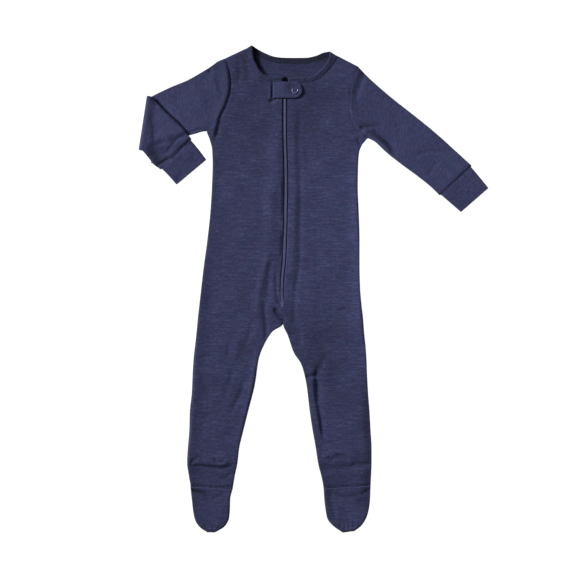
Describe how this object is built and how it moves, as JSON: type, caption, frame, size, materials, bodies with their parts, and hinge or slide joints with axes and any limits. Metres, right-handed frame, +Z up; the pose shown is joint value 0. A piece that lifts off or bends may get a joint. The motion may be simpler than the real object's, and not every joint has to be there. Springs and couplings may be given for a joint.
{
  "type": "onesie pajama",
  "caption": "Baby's footed sleeper with long sleeves, rib cuffs, bound round neck and a front zip under a snapped guard tab, laid flat with one sleeve folded over.",
  "frame": {"origin": "bottom centre of the box round the garment as it lies, on the surface under it", "axes": "+Y from the feet to the neck, +X towards the wearer's left, +Z up out of the front of the garment"},
  "size_m": [0.4868, 0.6794, 0.0091],
  "materials": {
    "knit": "fine heathered navy knit",
    "rib": "navy rib knit",
    "tape": "woven zip tape and nylon coil dyed navy",
    "slider": "dark enamel",
    "snap": "pearl enamel"
  },
  "bodies": {
    "root": {"back_panel": "knit", "front_panel_right": "knit", "front_panel_left": "knit", "sleeve_right": "knit", "sleeve_left": "knit", "cuff_right": "rib", "cuff_left": "rib", "foot_upper_right": "knit", "foot_upper_left": "knit", "sole_right": "knit", "sole_left": "knit", "neck_binding_back": "rib", "neck_binding_right": "rib", "neck_binding_left": "rib", "zip_tape": "tape", "zip_coil": "tape", "zip_slider": "slider", "zip_guard": "knit", "snap_ring": "snap"}
  },
  "joints": []
}
